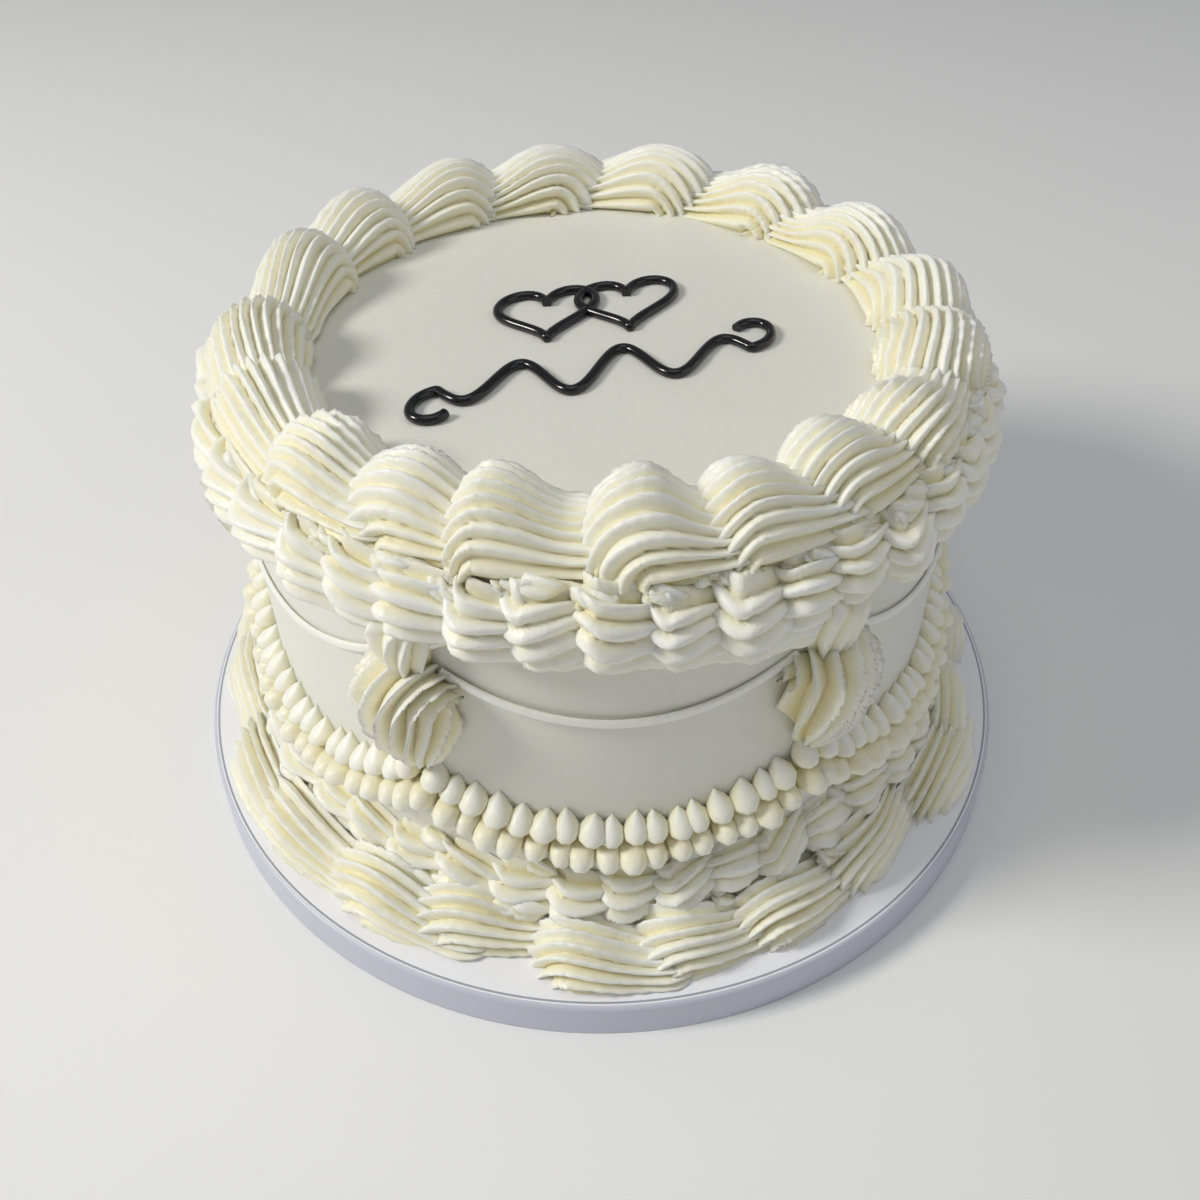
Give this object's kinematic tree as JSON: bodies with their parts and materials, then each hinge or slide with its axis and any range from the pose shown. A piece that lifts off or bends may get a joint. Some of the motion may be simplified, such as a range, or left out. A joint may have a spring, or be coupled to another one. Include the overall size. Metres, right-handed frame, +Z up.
{
  "type": "wedding cake",
  "caption": "Round wedding cake in ivory buttercream with piped shell borders, drop strings and a bead garland, on a white cake drum.",
  "frame": {"origin": "middle of the drum's underside", "axes": "+Z up, -Y towards the viewer of the picture, +X to that viewer's right"},
  "size_m": [0.254, 0.254, 0.1551],
  "materials": {
    "icing": "smoothed ivory buttercream, soft satin",
    "piping": "piped ivory buttercream, soft satin with fine ridges",
    "drum": "white laminated paper over board",
    "gel": "glossy black piping gel"
  },
  "bodies": {
    "root": {"drum": "drum", "cake": "icing", "top_border": "piping", "side_border": "piping", "garland": "piping", "drop_string_1": "piping", "drop_string_2": "piping", "drop_string_3": "piping", "drop_string_4": "piping", "drop_string_5": "piping", "drop_string_6": "piping", "drop_shells_1": "piping", "drop_shells_2": "piping", "drop_shells_3": "piping", "drop_shells_4": "piping", "drop_shells_5": "piping", "drop_shells_6": "piping", "foot_upper_border": "piping", "foot_lower_border": "piping", "gel_hearts": "gel", "gel_scroll": "gel"}
  },
  "joints": []
}
